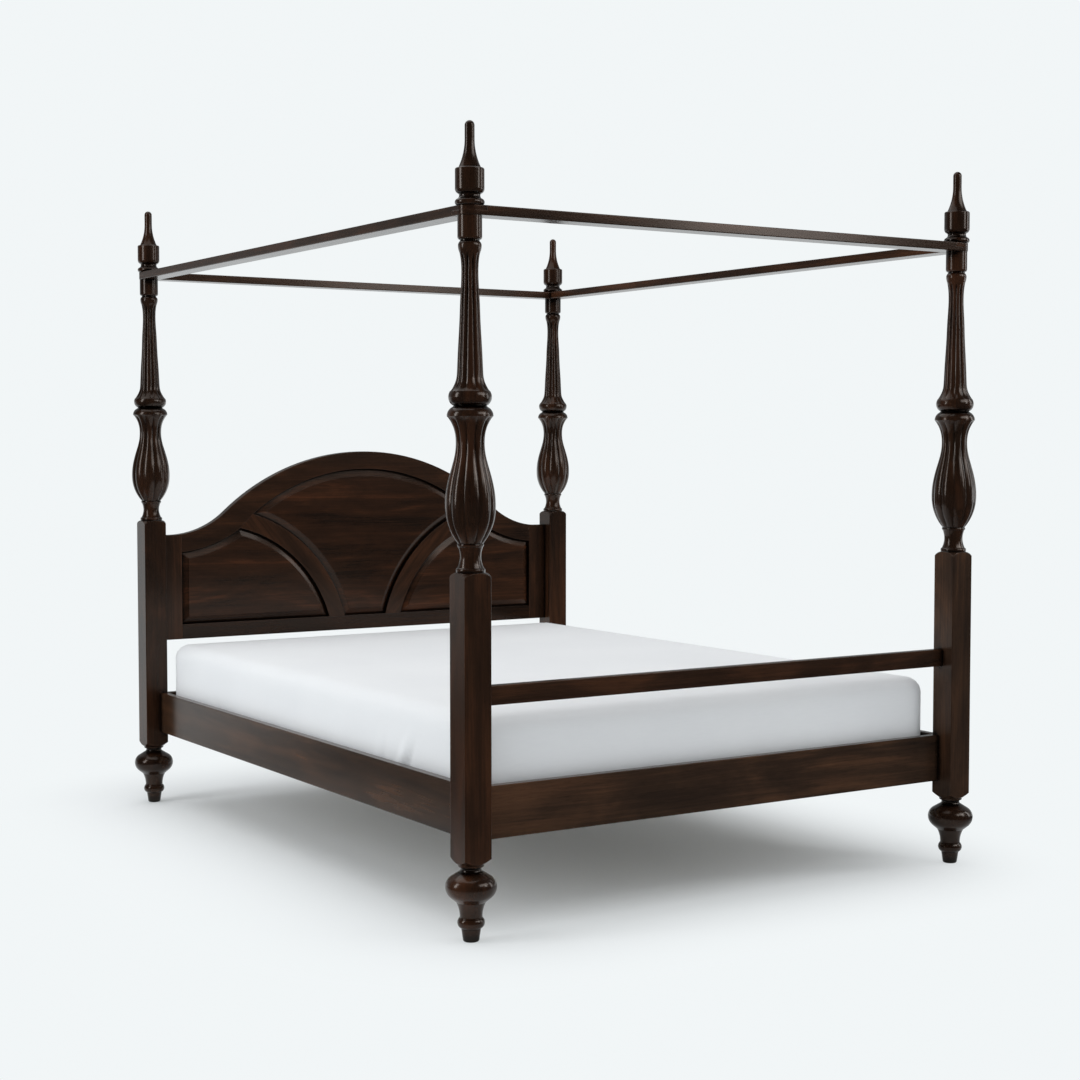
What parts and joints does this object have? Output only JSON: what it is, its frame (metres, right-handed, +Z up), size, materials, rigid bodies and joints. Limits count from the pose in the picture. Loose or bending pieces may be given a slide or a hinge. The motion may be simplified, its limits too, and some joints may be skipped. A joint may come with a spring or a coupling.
{
  "type": "canopy bed",
  "caption": "Dark wood four-poster canopy bed with turned lobed posts, arched panelled headboard, low rails, foot crossbar, flat canopy frame, finials and a mattress.",
  "frame": {"origin": "on the floor at the centre of the four posts", "axes": "+X across the bed to its right side seen from the foot, +Y towards the head, +Z up"},
  "size_m": [1.7446, 2.2596, 1.9955],
  "materials": {
    "dark_wood": "dark walnut stain under satin lacquer",
    "panel_wood": "figured panels, dark reddish walnut stain under satin lacquer",
    "inner_wood": "plain planed pine and beech, unfinished",
    "steel": "zinc plated",
    "bedding": "white cotton fitted sheet"
  },
  "bodies": {
    "bed_frame": {"bearer_saddles": "steel", "canopy_pins": "steel", "centre_bearer": "inner_wood", "foot_bolts": "steel", "foot_crossbar": "dark_wood", "foot_left_bun": "dark_wood", "foot_left_leg": "dark_wood", "foot_left_shaft": "dark_wood", "foot_left_vase": "dark_wood", "foot_rail": "dark_wood", "foot_right_bun": "dark_wood", "foot_right_leg": "dark_wood", "foot_right_shaft": "dark_wood", "foot_right_vase": "dark_wood", "head_left_bun": "dark_wood", "head_left_leg": "dark_wood", "head_left_shaft": "dark_wood", "head_left_vase": "dark_wood", "head_rail": "dark_wood", "head_right_bun": "dark_wood", "head_right_leg": "dark_wood", "head_right_shaft": "dark_wood", "head_right_vase": "dark_wood", "headboard_bottom_rail": "dark_wood", "headboard_centre_panel": "panel_wood", "headboard_dowels": "inner_wood", "headboard_left_mullion": "dark_wood", "headboard_left_panel": "panel_wood", "headboard_left_stile": "dark_wood", "headboard_right_mullion": "dark_wood", "headboard_right_panel": "panel_wood", "headboard_right_stile": "dark_wood", "headboard_top_rail": "dark_wood", "hook_pins": "steel", "ledger_screws": "steel", "left_ledger": "inner_wood", "left_side_rail": "dark_wood", "rail_hooks": "steel", "right_ledger": "inner_wood", "right_side_rail": "dark_wood", "saddle_screws": "steel", "shaft_dowels": "inner_wood", "slats": "inner_wood", "vase_dowels": "inner_wood"},
    "mattress": {"mattress": "bedding"},
    "canopy_frame": {"foot_canopy_rail": "dark_wood", "head_canopy_rail": "dark_wood", "left_canopy_rail": "dark_wood", "right_canopy_rail": "dark_wood"},
    "foot_left_finial": {"foot_left_finial": "dark_wood"},
    "foot_right_finial": {"foot_right_finial": "dark_wood"},
    "head_left_finial": {"head_left_finial": "dark_wood"},
    "head_right_finial": {"head_right_finial": "dark_wood"}
  },
  "joints": [
    {"name": "mattress_lift", "type": "slide", "parent": "bed_frame", "child": "mattress", "axis": [0, 0, 1], "range_m": [0, 0.35]},
    {"name": "canopy_lift", "type": "slide", "parent": "bed_frame", "child": "canopy_frame", "axis": [0, 0, 1], "range_m": [0, 0.08]},
    {"name": "foot_left_finial_lift", "type": "slide", "parent": "canopy_frame", "child": "foot_left_finial", "axis": [0, 0, 1], "range_m": [0, 0.05]},
    {"name": "foot_right_finial_lift", "type": "slide", "parent": "canopy_frame", "child": "foot_right_finial", "axis": [0, 0, 1], "range_m": [0, 0.05]},
    {"name": "head_left_finial_lift", "type": "slide", "parent": "canopy_frame", "child": "head_left_finial", "axis": [0, 0, 1], "range_m": [0, 0.05]},
    {"name": "head_right_finial_lift", "type": "slide", "parent": "canopy_frame", "child": "head_right_finial", "axis": [0, 0, 1], "range_m": [0, 0.05]}
  ]
}
